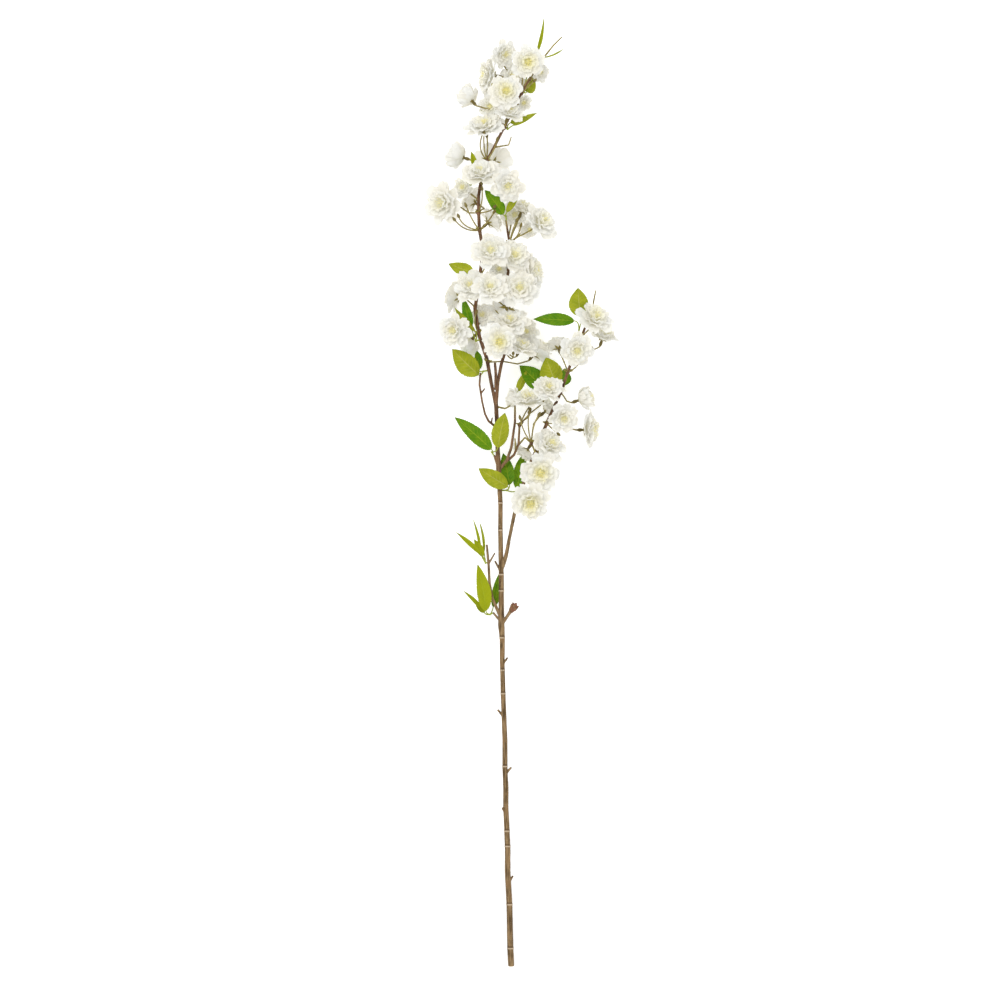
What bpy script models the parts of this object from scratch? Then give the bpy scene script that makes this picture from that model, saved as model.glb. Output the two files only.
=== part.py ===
"""Cherry blossom sprig: a cut stem with white double blossoms and young leaves, lying on its back.

Metres, +Z up. The stem runs along +Y from its cut end to its tip. X goes to the side, and Z is the
height above the surface that the sprig lies on. The tables below are in millimetres, measured from
the middle of the cut end, because that is how a stem is measured.
"""

import math

import bmesh
import bpy
import numpy as np
from mathutils import Matrix, Vector

MM = 0.001
GAP = 0.3  # clearance between two pieces that touch, in millimetres

# ---------------------------------------------------------------- wood
# Each path is a list of (side, along, up, radius).
TRUNK = [
    (7, 0, 3.3, 3.3), (6, 20, 4, 3.3), (5, 69, 6, 3.2), (3, 106, 8, 3.1), (3, 134, 9, 3.0),
    (1, 176, 11, 2.9), (1, 199, 12, 2.9), (0, 223, 13, 2.8), (0, 253, 15, 2.7),
    (-2, 304, 17, 2.6), (-3, 342, 19, 2.6), (-3, 366, 20, 2.9), (-4, 380, 21, 3.5),
    (-4, 394, 22, 3.0), (-4, 418, 24, 2.7), (-4, 436, 25, 2.6), (-5, 485, 28, 2.5),
    (-5, 515, 30, 2.4), (-7, 553, 33, 2.8), (-8, 573, 34, 2.3), (-9, 607, 36, 2.2),
    (-10, 626, 37, 2.1),
]
RINGS = [20, 69, 134, 151, 223, 304, 330, 366, 418, 436, 485, 515]
RING_SWELL = 1.14
LEFT_LEADER = [
    (-10, 622, 37, 1.9), (-15, 647, 37, 1.9), (-20, 674, 38, 1.9), (-28, 698, 39, 1.9),
    (-33, 728, 39, 1.9), (-28, 762, 40, 1.8), (-24, 793, 40, 1.8), (-28, 815, 41, 1.8),
    (-29, 835, 41, 1.7), (-29, 853, 41, 1.7), (-26, 872, 42, 1.6), (-19, 893, 42, 1.5),
    (-10, 910, 42, 1.5), (-1, 928, 42, 1.5), (9, 947, 42, 1.4), (18, 966, 42, 1.3),
    (26, 980, 41, 1.2), (41, 1003, 40, 1.0), (53, 1018, 40, 0.8), (63, 1028, 40, 0.6),
]
RIGHT_LEADER = [
    (-10, 620, 37, 1.8), (-8, 647, 38, 1.8), (-4, 668, 39, 1.7), (0, 681, 40, 1.7),
    (2, 706, 40, 1.6), (3, 728, 40, 1.6), (3, 765, 40, 1.5), (5, 801, 40, 1.4),
    (1, 826, 40, 1.0),
]
MIDDLE_SHOOT = [(-10, 640, 38, 1.6), (-10, 657, 42, 1.5), (-11, 669, 44, 1.3)]
THIN_TWIG = [
    (-9, 598, 36, 1.3), (-18, 605, 39, 1.2), (-22, 613, 40, 1.1), (-25, 626, 41, 1.0),
    (-28, 645, 41, 1.0), (-27, 658, 41, 0.9),
]
LOW_TWIG = [
    (-4, 386, 21, 1.7), (-8, 396, 24, 1.6), (-14, 410, 27, 1.5), (-17, 426, 29, 1.4),
    (-18, 446, 30, 1.3), (-20, 469, 31, 1.1),
]
TWIG_A = [
    (-7, 551, 33, 1.7), (2, 562, 37, 1.6), (7, 576, 40, 1.4), (9, 590, 41, 1.3),
    (11, 604, 42, 1.2), (11, 622, 42, 1.0),
]
TWIG_B = [(1, 560, 36, 1.4), (10, 568, 38, 1.3), (15, 580, 39, 1.2), (16, 601, 40, 1.1)]
TWIG_C = [(14, 578, 39, 1.1), (22, 587, 42, 1.0), (29, 581, 44, 1.0), (35, 566, 45, 0.8)]
CROSS_TWIG = [(-9, 621, 37, 1.0), (0, 619, 38, 0.9), (6, 622, 39, 0.8)]
STUBS = [  # short side shoots on the main stem
    [(4, 93, 7, 1.4), (9, 101, 8, 0.9)],
    [(1, 170, 11, 1.4), (-3, 177, 12, 0.9)],
    [(1, 215, 13, 1.5), (7, 222, 14, 1.0)],
    [(-2, 279, 16, 1.5), (-8, 286, 17, 1.0)],
    [(-2, 337, 19, 1.3), (3, 344, 20, 0.9)],
    [(-4, 380, 21, 1.8), (4, 392, 23, 1.7), (9, 399, 24, 2.6), (12, 403, 25, 1.4)],
    [(-4, 384, 22, 1.4), (-9, 389, 24, 1.2), (-13, 394, 25, 0.9)],
    [(-5, 440, 26, 1.4), (-11, 451, 28, 0.9)],
    [(-18, 448, 30, 1.0), (-11, 460, 33, 0.7)],
    [(-7, 553, 33, 1.5), (-12, 568, 35, 1.0)],
    [(-26, 636, 41, 0.9), (-22, 641, 43, 0.6)],
    [(-15, 603, 38, 0.9), (-14, 609, 40, 0.7)],
    [(12, 572, 39, 0.9), (11, 586, 44, 0.7)],
    [(34, 569, 45, 0.8), (39, 568, 47, 0.6)],
    [(-12, 906, 42, 0.9), (4, 909, 38, 0.7), (7, 918, 38, 0.5)],
]
BRANCH = [
    (-0.6, 449, 27.6, 1.6), (11, 506, 32, 1.9), (25, 551, 35, 1.8), (36, 577, 36, 1.8),
    (46, 603, 37, 1.7), (61, 636, 38, 1.6), (69, 659, 38, 1.5), (76, 678, 38, 1.4),
    (84, 697, 38, 1.4), (91, 716, 38, 1.1), (97, 734, 38, 0.8), (100, 749, 38, 0.6),
]

# Swellings where a bunch of flower stalks starts: (side, along, up, radius).
KNOBS = {
    "tip": (18, 966, 42, 2.6),
    "bend": (-1, 928, 42, 2.6),
    "left": (-20, 892, 42, 2.4),
    "fork": (-26, 872, 42, 2.4),
    "upper": (-29, 834, 41, 2.6),
    "middle": (-28, 815, 41, 2.3),
    "low": (-28, 763, 40, 2.4),
    "wide": (-29, 702, 39, 2.5),
    "base": (-19, 670, 38, 2.3),
    "shoot": (5, 801, 40, 2.4),
    "star": (3, 728, 40, 2.6),
    "front": (0, 681, 40, 2.5),
    "twig": (16, 601, 40, 2.2),
    "side": (29, 581, 44, 2.1),
    "spur": (36, 577, 36, 2.6),
    "joint": (46, 603, 37, 2.5),
    "bow": (61, 637, 38, 2.3),
    "rise": (69, 659, 38, 2.3),
    "crown": (84, 697, 38, 2.3),
}
BRANCH_KNOBS = ("spur", "joint", "bow", "rise", "crown")

# ---------------------------------------------------------------- blossoms
# name: (knob, side, along, up, heading, lift, diameter, form). The place is the middle of the
# flower. Heading turns from +X to +Y, and a lift of 90 degrees faces straight up.
BLOSSOMS = {
    "blossom_01": ("tip", -1, 1008, 46, 335, 50, 32, "open"),
    "blossom_02": ("tip", 25, 997, 64, 300, 74, 36, "open"),
    "blossom_03": ("tip", -19, 986, 40, 174, 14, 38, "open"),
    "blossom_04": ("tip", 1, 964, 64, 80, 78, 35, "open"),
    "blossom_05": ("bend", 5, 943, 60, 70, 28, 28, "open"),
    "blossom_06": ("bend", -42, 965, 28, 130, -28, 24, "half"),
    "blossom_07": ("left", -22, 930, 48, 100, 35, 38, "open"),
    "blossom_08": ("fork", -55, 899, 30, 160, -20, 25, "half"),
    "blossom_09": ("left", -12, 895, 14, 80, -60, 40, "open"),
    "blossom_10": ("fork", -26, 875, 62, 100, 42, 40, "open"),
    "blossom_11": ("fork", 2, 863, 62, 290, 68, 36, "open"),
    "blossom_12": ("upper", -69, 845, 36, 185, 52, 48, "open"),
    "blossom_13": ("upper", -38, 850, 14, 150, -20, 30, "open"),
    "blossom_14": ("middle", -14, 829, 15, 40, -15, 32, "open"),
    "blossom_15": ("shoot", 20, 842, 30, 70, 20, 30, "open"),
    "blossom_16": ("shoot", 41, 824, 48, 35, 38, 40, "open"),
    "blossom_17": ("low", -13, 790, 64, 92, 70, 38, "open"),
    "blossom_18": ("shoot", 8, 786, 60, 50, 55, 32, "open"),
    "blossom_19": ("star", 31, 771, 42, 12, 22, 36, "open"),
    "blossom_20": ("low", -37, 753, 60, 115, 62, 34, "open"),
    "blossom_21": ("star", -16, 750, 66, 90, 62, 31, "open"),
    "blossom_22": ("star", 15, 750, 66, 80, 70, 38, "open"),
    "blossom_23": ("wide", -57, 744, 16, 165, -22, 34, "open"),
    "blossom_24": ("star", -4, 726, 14, 90, -62, 34, "open"),
    "blossom_25": ("wide", -56, 704, 56, 205, 62, 37, "open"),
    "blossom_26": ("wide", -40, 690, 20, 235, -30, 21, "half"),
    "blossom_27": ("front", -6, 691, 72, 270, 82, 36, "open"),
    "blossom_28": ("front", 5, 715, 55, 85, 48, 34, "open"),
    "blossom_29": ("front", 18, 688, 44, 65, 25, 29, "open"),
    "blossom_30": ("base", 38, 686, 18, 50, -18, 40, "open"),
    "blossom_31": ("rise", 56, 690, 22, 110, -25, 30, "open"),
    "blossom_32": ("rise", 79, 682, 62, 280, 72, 36, "open"),
    "blossom_33": ("crown", 99, 718, 52, 60, 40, 40, "open"),
    "blossom_34": ("crown", 110, 702, 12, 70, 20, 33, "open"),
    "blossom_35": ("twig", 28, 631, 52, 95, 22, 36, "open"),
    "blossom_36": ("twig", 46, 639, 60, 75, 48, 33, "open"),
    "blossom_37": ("joint", 64, 608, 62, 300, 68, 32, "open"),
    "blossom_38": ("side", 49, 620, 13, 40, 0, 27, "open"),
    "blossom_39": ("twig", 8, 631, 30, 170, 0, 19, "half"),
    "blossom_40": ("bow", 90, 631, 36, 18, 8, 22, "half"),
    "blossom_41": ("joint", 95, 596, 14, 0, 15, 36, "open"),
    "blossom_42": ("side", 22, 570, 22, 235, -10, 26, "open"),
    "blossom_43": ("spur", 50, 578, 52, 50, 45, 37, "open"),
    "blossom_44": ("spur", 38, 547, 64, 272, 76, 42, "open"),
    "blossom_45": ("spur", 29, 518, 56, 268, 66, 42, "open"),
}
# How far a stalk's lower half is drawn aside from its shortest way, to clear what is near it.
BENDS = {
    "blossom_06": (4, 22, -24),
    "blossom_08": (-7, -3, 0),
    "blossom_12": (-2, -15, 13),
    "blossom_28": (-9, 0, 2),
}
# Profile of a flower from its seat to its middle: (radius / half diameter, height / depth).
PROFILES = {
    "open": (0.46, [(0.52, 0.30), (0.97, 0.68), (0.96, 0.90), (0.44, 1.00)]),
    "half": (0.86, [(0.68, 0.24), (1.00, 0.58), (0.88, 0.90), (0.40, 1.00)]),
}
LOBES = 5
SEAT_RADIUS = 1.6
HIP_LENGTH = 7.0
HIP_RADIUS = 1.9
STALK_RADIUS = 0.75

# ---------------------------------------------------------------- leaves
# name: (root on the wood, [(base, tip, width, roll), ...]). A roll of 0 shows the upper side.
LEAVES = {
    "leaves_low": ((-16.5, 392, 27), [
        ((-21, 396, 31), (-30, 447, 34), 17, 20), ((-13, 400, 17), (-7, 437, 12), 9, 160),
        ((-22, 393, 26), (-45, 418, 20), 6, 60)]),
    "leaves_tuft": ((-21.5, 449, 30), [
        ((-26, 458, 33), (-54, 483, 36), 7, 30), ((-27, 460, 30), (-34, 496, 34), 7, 100),
        ((-24, 458, 28), (-27, 491, 26), 6, 60)]),
    "leaves_pair": ((-14.5, 571, 37), [
        ((-15, 574, 44), (-55, 609, 48), 18, 10), ((-8, 576, 45), (0, 614, 52), 20, 190)]),
    "leaves_trio": ((2, 529, 33), [
        ((3, 533, 40), (-29, 553, 44), 19, 185), ((5, 535, 30), (-2, 570, 24), 16, 10),
        ((14, 533, 24), (21, 568, 8), 14, 40)]),
    "leaves_left": ((-24, 660, 35), [
        ((-29, 656, 38), (-58, 684, 46), 24, 190), ((-29, 662, 30), (-31, 684, 20), 10, 20)]),
    "leaves_fold": ((-32, 693, 44), [
        ((-33, 704, 48), (-55, 729, 54), 10, 215), ((-37, 708, 44), (-46, 741, 44), 11, 350)]),
    "leaves_tip": ((-31, 768, 43), [((-35, 768, 46), (-62, 779, 40), 20, 185)]),
    "leaves_bright": ((81, 703, 41), [
        ((76, 715, 46), (31, 717, 44), 15, 10), ((83, 720, 44), (80, 751, 50), 23, 190)]),
    "leaves_centre": ((58, 643, 35), [
        ((57, 645, 32), (45, 675, 40), 26, 185), ((44, 642, 20), (24, 668, 22), 20, 10),
        ((66, 645, 28), (66, 664, 18), 14, 20)]),
    "leaves_top": ((1, 830, 41.5), [
        ((-2, 832, 46), (-22, 858, 50), 17, 20), ((2, 834, 48), (14, 851, 60), 8, 200)]),
    "leaves_fork": ((-30, 874, 42), [
        ((-33, 882, 46), (-37, 901, 46), 7, 20), ((-39, 866, 40), (-44, 885, 38), 7, 200)]),
    "leaves_bend": ((3, 926, 42), [
        ((9, 930, 43), (35, 943, 48), 7, 200), ((6, 934, 34), (18, 942, 28), 8, 30),
        ((-4, 934, 33), (-28, 949, 28), 4, 100)]),
    "leaves_end": ((21, 967, 39), [
        ((24, 968, 34), (33, 984, 28), 15, 190), ((34, 1008, 32), (43, 1050, 36), 5, 40),
        ((42, 1006, 33), (65, 1015, 38), 5, 120)]),
}
BLADE_THICKNESS = 0.7
PETIOLE_RADIUS = 0.55
BLADE_ACROSS = 2
BLADE_ALONG = 6

MATERIALS = {  # colour, roughness
    "bark": ((0.30, 0.21, 0.12), 0.75),
    "petal": ((0.90, 0.89, 0.84), 0.65),
    "leaf": ((0.22, 0.38, 0.05), 0.55),
}


# ---------------------------------------------------------------- scene and helpers
def clear_scene():
    """Empties the start-up scene, so that the file gives the same object each time."""
    for thing in list(bpy.data.objects):
        bpy.data.objects.remove(thing, do_unlink=True)


def make_collection(name):
    group = bpy.data.collections.new(name)
    bpy.context.scene.collection.children.link(group)
    return group


def make_material(name, colour, roughness):
    mat = bpy.data.materials.new(name)
    mat.use_nodes = True
    shader = mat.node_tree.nodes["Principled BSDF"]
    shader.inputs["Base Color"].default_value = (*colour, 1.0)
    shader.inputs["Roughness"].default_value = roughness
    shader.inputs["Metallic"].default_value = 0.0
    return mat


def heading_vector(heading, lift):
    """The direction for a heading in the XY plane and a lift towards +Z, in degrees."""
    a, b = math.radians(heading), math.radians(lift)
    return Vector((math.cos(a) * math.cos(b), math.sin(a) * math.cos(b), math.sin(b)))


def evaluated_mesh(thing):
    """A new mesh holding an object as its modifiers leave it, with doubled points merged."""
    bpy.context.view_layer.update()
    graph = bpy.context.evaluated_depsgraph_get()
    mesh = bpy.data.meshes.new_from_object(thing.evaluated_get(graph))
    bm = bmesh.new()
    bm.from_mesh(mesh)
    bmesh.ops.remove_doubles(bm, verts=bm.verts, dist=0.000002)
    bmesh.ops.recalc_face_normals(bm, faces=bm.faces)
    bm.to_mesh(mesh)
    bm.free()
    return mesh


def link(name, data):
    thing = bpy.data.objects.new(name, data)
    SPRIG.objects.link(thing)
    return thing


def drop(thing):
    bpy.data.objects.remove(thing, do_unlink=True)


def tube(points, sides):
    """A mesh of a closed tube through points (side, along, up, radius) in millimetres."""
    curve = bpy.data.curves.new("path", "CURVE")
    curve.dimensions = "3D"
    curve.bevel_depth = MM
    curve.bevel_resolution = sides // 2 - 2
    curve.use_fill_caps = True
    spline = curve.splines.new("POLY")
    spline.points.add(len(points) - 1)
    for node, (x, y, z, r) in zip(spline.points, points):
        node.co = (x * MM, y * MM, z * MM, 1)
        node.radius = r
    holder = link("path", curve)
    mesh = evaluated_mesh(holder)
    drop(holder)
    return mesh


def ball(centre, radius, stretch=1.0):
    """A mesh of a small round swelling."""
    mesh = bpy.data.meshes.new("swelling")
    bm = bmesh.new()
    place = Matrix.Translation(Vector(centre) * MM) @ Matrix.Diagonal((1, stretch, 1, 1))
    bmesh.ops.create_uvsphere(bm, u_segments=7, v_segments=4, radius=radius * MM, matrix=place)
    bm.to_mesh(mesh)
    bm.free()
    return mesh


def fuse(name, meshes):
    """Unites meshes into one closed solid, one exact Boolean at a time."""
    body = link(name, meshes[0])
    for mesh in meshes[1:]:
        other = link("joined", mesh)
        step = body.modifiers.new("unite", "BOOLEAN")
        step.operation, step.solver, step.object = "UNION", "EXACT", other
        united = evaluated_mesh(body)
        body.modifiers.clear()
        body.data = united
        drop(other)
    return body


def finish(thing, slot, pivot):
    """Gives a piece its origin, material, smooth shading and parent."""
    thing.data.transform(Matrix.Translation(-Vector(pivot) * MM))
    thing.location = Vector(pivot) * MM
    thing.data.materials.clear()
    thing.data.materials.append(make_material(f"{slot}_{thing.name}", *MATERIALS[slot]))
    thing.data.polygons.foreach_set("use_smooth", [True] * len(thing.data.polygons))
    thing.parent = FRAME


# ---------------------------------------------------------------- arranging the flowers
def flower_balls(row):
    """Balls that stand in for a flower while it is moved clear of others: centres and radii."""
    _, x, y, z, heading, lift, diameter, form = row
    axis = np.array(heading_vector(heading, lift))
    radius, depth = diameter / 2, diameter * PROFILES[form][0]
    across = np.cross(axis, [0.31, 0.52, 0.79])
    across /= np.linalg.norm(across)
    third = np.cross(axis, across)
    centres, radii = [-axis * depth * 0.20], [radius * 0.52]
    for k in range(10):
        a = math.tau * k / 10
        out = across * math.cos(a) + third * math.sin(a)
        centres.append(out * radius * 0.76 + axis * depth * 0.16)
        radii.append(radius * 0.27)
    return np.array(centres), np.array(radii)


def path_balls(points, extra):
    """Balls along a path, every 4 mm."""
    found = []
    for a, b in zip(points, points[1:]):
        a, b = np.array(a, float), np.array(b, float)
        count = max(1, int(np.linalg.norm(b[:3] - a[:3]) // 4))
        found += [a + (b - a) * k / count for k in range(count)]
    found = np.array(found)
    return found[:, :3], found[:, 3] + extra


def leaf_balls():
    """Balls over the blades of every leaf."""
    found = []
    for _, blades in LEAVES.values():
        for base, tip, width, roll in blades:
            frame = blade_frame(base, tip, roll)
            length = (Vector(tip) - Vector(base)).length
            for along in np.linspace(0.05, 0.95, 8):
                half = width / 2 * blade_width(along) * 0.8
                for side in (-1, 0, 1):
                    found.append(frame @ Vector((side * half, along * length, 0)))
    return np.array([tuple(v) for v in found]), np.full(len(found), 1.8)


def settle(rounds=260):
    """Moves flowers apart until none meets another flower, the wood or a leaf.

    A flower gives way mostly in height, and its first place pulls it back sideways.
    """
    names = list(BLOSSOMS)
    shapes = [flower_balls(BLOSSOMS[n]) for n in names]
    start = np.array([BLOSSOMS[n][1:4] for n in names], float)
    place = start.copy()
    solids = [path_balls(p, 0.9) for p in WOOD_PATHS] + [leaf_balls()]
    fixed = np.vstack([c for c, _ in solids])
    fixed_radii = np.concatenate([r for _, r in solids])
    freedom = np.array([0.45, 0.45, 1.0])
    for turn in range(rounds):
        push = np.zeros_like(place)
        for i, (a, ra) in enumerate(shapes):
            mine = a + place[i]
            apart = mine[:, None] - fixed[None]
            gap = np.linalg.norm(apart, axis=2)
            deep = np.clip(ra[:, None] + fixed_radii[None] - gap, 0, None)
            push[i] += deepest(apart, gap, deep)
            for j in range(i):
                if np.linalg.norm(place[i] - place[j]) > 50:
                    continue
                b, rb = shapes[j]
                apart = mine[:, None] - (b + place[j])[None]
                gap = np.linalg.norm(apart, axis=2)
                deep = np.clip(ra[:, None] + rb[None] + 1.2 - gap, 0, None)
                move = deepest(apart, gap, deep) / 2
                push[i] += move
                push[j] -= move
            low = np.min(mine[:, 2] - ra)
            push[i, 2] += max(0.0, -low)
        place += push * freedom * 0.6
        if turn < rounds * 0.7:
            place += (start - place) * np.array([0.03, 0.03, 0.01])
    return {n: tuple(p) for n, p in zip(names, place)}


def deepest(apart, gap, deep):
    """The push that clears the deepest of a set of meetings."""
    if not deep.any():
        return np.zeros(3)
    at = np.unravel_index(np.argmax(deep), deep.shape)
    return apart[at] / max(gap[at], 1e-6) * deep[at]


# ---------------------------------------------------------------- pieces
def corolla(name, spot, row, turn):
    """One double blossom: a lobed cup, drawn out ring by ring from its seat."""
    _, _, _, _, heading, lift, diameter, form = row
    share, profile = PROFILES[form]
    depth = diameter * share
    bm = bmesh.new()
    segments = LOBES * 3
    bmesh.ops.create_circle(bm, cap_ends=True, segments=segments, radius=SEAT_RADIUS * MM)
    bm.faces.ensure_lookup_table()
    face = bm.faces[0]
    for radius, height in profile:
        made = bmesh.ops.extrude_face_region(bm, geom=[face])["geom"]
        ring = [v for v in made if isinstance(v, bmesh.types.BMVert)]
        bmesh.ops.delete(bm, geom=[face], context="FACES_ONLY")
        face = next(f for f in made if isinstance(f, bmesh.types.BMFace))
        for v in ring:
            angle = math.atan2(v.co.y, v.co.x)
            wave = 0.055 * math.cos(LOBES * angle) if radius > 0.85 else 0.0
            reach = diameter / 2 * radius * (0.97 + wave)
            v.co = Vector((math.cos(angle) * reach, math.sin(angle) * reach, depth * height)) * MM
    foot = [e for e in bm.edges if e.is_boundary]
    bmesh.ops.holes_fill(bm, edges=foot, sides=segments)
    bmesh.ops.recalc_face_normals(bm, faces=bm.faces)
    mesh = bpy.data.meshes.new(name)
    bm.to_mesh(mesh)
    bm.free()
    thing = link(name, mesh)
    axis = heading_vector(heading, lift)
    finish(thing, "petal", (0, 0, 0))
    thing.rotation_mode = "QUATERNION"
    lean = axis.to_track_quat("Z", "Y")
    thing.rotation_quaternion = lean @ Matrix.Rotation(math.radians(turn), 4, "Z").to_quaternion()
    thing.location = seat(spot, row) * MM
    return thing


def seat(spot, row):
    """The point where a flower meets its stalk."""
    _, _, _, _, heading, lift, diameter, form = row
    depth = diameter * PROFILES[form][0]
    return Vector(spot) - heading_vector(heading, lift) * depth * 0.55


def stalk(spot, name):
    """The path of a flower's stalk: it leaves its knob, bends, and swells into the hip."""
    row = BLOSSOMS[name]
    knob, _, _, _, heading, lift, _, _ = row
    axis = heading_vector(heading, lift)
    top = seat(spot, row) - axis * GAP
    hip = top - axis * HIP_LENGTH
    start = Vector(KNOBS[knob][:3])
    reach = (hip - start).length
    first = start + (hip - start) * 0.35 + Vector((0, reach * 0.12, 0))
    first += Vector(BENDS.get(name, (0, 0, 0)))
    last = hip - axis * min(14, reach * 0.4)
    path = []
    for k in range(4):
        t = k / 3
        p = (start * (1 - t) ** 3 + first * 3 * t * (1 - t) ** 2
             + last * 3 * t ** 2 * (1 - t) + hip * t ** 3)
        path.append((*p, STALK_RADIUS))
    path.append((*(hip + axis * HIP_LENGTH * 0.5), HIP_RADIUS))
    path.append((*top, HIP_RADIUS * 0.75))
    return path


def blade_frame(base, tip, roll):
    """The frame of a leaf blade: Y from base to tip, Z out of its upper side."""
    base, tip = Vector(base), Vector(tip)
    along = (tip - base).normalized()
    side = along.cross(Vector((0, 0, 1))).normalized()
    up = side.cross(along)
    turn = Matrix.Rotation(math.radians(roll), 3, along)
    side, up = turn @ side, turn @ up
    frame = Matrix((side, along, up)).transposed().to_4x4()
    frame.translation = base
    return frame


def blade_width(along):
    """The outline of a cherry leaf: 1 at its widest, with a drawn-out tip."""
    return max(0.05, 2.25 * along ** 0.62 * (1 - along) ** 0.95)


def blade(base, tip, width, roll):
    """A leaf blade, folded a little along its midrib and arched from base to tip."""
    frame = blade_frame(base, tip, roll)
    length = (Vector(tip) - Vector(base)).length
    bm = bmesh.new()
    bmesh.ops.create_grid(bm, x_segments=BLADE_ACROSS, y_segments=BLADE_ALONG, size=1)
    for v in bm.verts:
        along = (v.co.y + 1) / 2
        x = v.co.x * max(0.45, width / 2 * blade_width(along))
        z = abs(x) * 0.30 + math.sin(along * math.pi) * length * 0.05
        v.co = frame @ Vector((x, along * length, z)) * MM
    mesh = bpy.data.meshes.new("blade")
    bm.to_mesh(mesh)
    bm.free()
    holder = link("blade", mesh)
    shell = holder.modifiers.new("thickness", "SOLIDIFY")
    shell.thickness = BLADE_THICKNESS * MM
    shell.offset = 0.0
    solid = evaluated_mesh(holder)
    drop(holder)
    return solid


def petiole(root, base, tip):
    """A thin leaf stalk that curves from its root into the base of a blade."""
    root, base, tip = Vector(root), Vector(base), Vector(tip)
    along = (tip - base).normalized()
    end = base + along * 3.0
    reach = (base - root).length
    bend = base - along * reach * 0.45
    path = []
    for k in range(4):
        t = k / 3
        p = root * (1 - t) ** 2 + bend * 2 * t * (1 - t) + base * t ** 2
        path.append((*p, PETIOLE_RADIUS))
    path.append((*end, PETIOLE_RADIUS * 0.9))
    return tube(path, 4)


def leaf_spray(name, root, blades):
    meshes = [ball(root, 1.2)]
    for base, tip, width, roll in blades:
        meshes.append(petiole(root, base, tip))
        meshes.append(blade(base, tip, width, roll))
    finish(fuse(name, meshes), "leaf", root)


def ringed(path):
    """The trunk's path with the swollen rings of its joints put in."""
    points = list(path)
    for y in RINGS:
        below = max((p for p in path if p[1] <= y), key=lambda p: p[1])
        above = min((p for p in path if p[1] > y), key=lambda p: p[1])
        points = [p for p in points if abs(p[1] - y) > 2.5]
        for offset, swell in ((-1.6, 1.0), (0.0, RING_SWELL), (1.6, 1.0)):
            t = (y + offset - below[1]) / (above[1] - below[1])
            x, _, z, r = (a + (b - a) * t for a, b in zip(below, above))
            points.append((x, y + offset, z, r * swell))
    return sorted(points, key=lambda p: p[1])


def wood(name, trunk, shoots, knobs, places, pivot):
    """One grown piece of wood with its side shoots, knobs and flower stalks."""
    meshes = [tube(trunk, 8)] + [tube(p, 6) for p in shoots]
    meshes += [ball(KNOBS[k][:3], KNOBS[k][3], 1.25) for k in knobs]
    for flower, row in BLOSSOMS.items():
        if row[0] in knobs:
            meshes.append(tube(stalk(places[flower], flower), 6))
    finish(fuse(name, meshes), "bark", pivot)


# ---------------------------------------------------------------- build
clear_scene()
SPRIG = make_collection("cherry_blossom_sprig")
FRAME = bpy.data.objects.new("frame", None)
SPRIG.objects.link(FRAME)
WOOD_PATHS = [
    TRUNK, LEFT_LEADER, RIGHT_LEADER, MIDDLE_SHOOT, THIN_TWIG, LOW_TWIG,
    TWIG_A, TWIG_B, TWIG_C, CROSS_TWIG, BRANCH, *STUBS,
]
PLACES = settle()
MAIN_KNOBS = [k for k in KNOBS if k not in BRANCH_KNOBS]
wood("main_stem", ringed(TRUNK), [p for p in WOOD_PATHS if p not in (TRUNK, BRANCH)],
     MAIN_KNOBS, PLACES, TRUNK[0][:3])
wood("right_branch", BRANCH, [], BRANCH_KNOBS, PLACES, BRANCH[0][:3])
for number, (label, line) in enumerate(BLOSSOMS.items()):
    corolla(label, PLACES[label], line, turn=47 * number)
for label, (foot, spray) in LEAVES.items():
    leaf_spray(label, foot, spray)

# The frame's origin goes to the bottom centre of the whole sprig.
bpy.context.view_layer.update()
SOLIDS = [thing for thing in SPRIG.objects if thing.type == "MESH"]
POINTS = [thing.matrix_world @ v.co for thing in SOLIDS for v in thing.data.vertices]
LOW = Vector([min(p[i] for p in POINTS) for i in range(3)])
HIGH = Vector([max(p[i] for p in POINTS) for i in range(3)])
FRAME.location = (-(LOW.x + HIGH.x) / 2, -(LOW.y + HIGH.y) / 2, -LOW.z)
bpy.context.view_layer.update()
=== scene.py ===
# %% [markdown]
# # A cherry blossom sprig
#
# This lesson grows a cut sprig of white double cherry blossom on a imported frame. The frame says
# where the wood runs, where each flower sits and which way it faces. Here every flower becomes
# whorls of thin ruffled petals around a tuft of stamens, leaves get teeth and veins, and the wood
# gets bark.
#
# All lengths are in metres. The sprig lies on its back: the stem runs along +Y and +Z is up.

# %% Load the frame
import math

import bmesh
import bpy
import numpy as np
from mathutils import Matrix, Vector, noise
from mathutils.bvhtree import BVHTree


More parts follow.
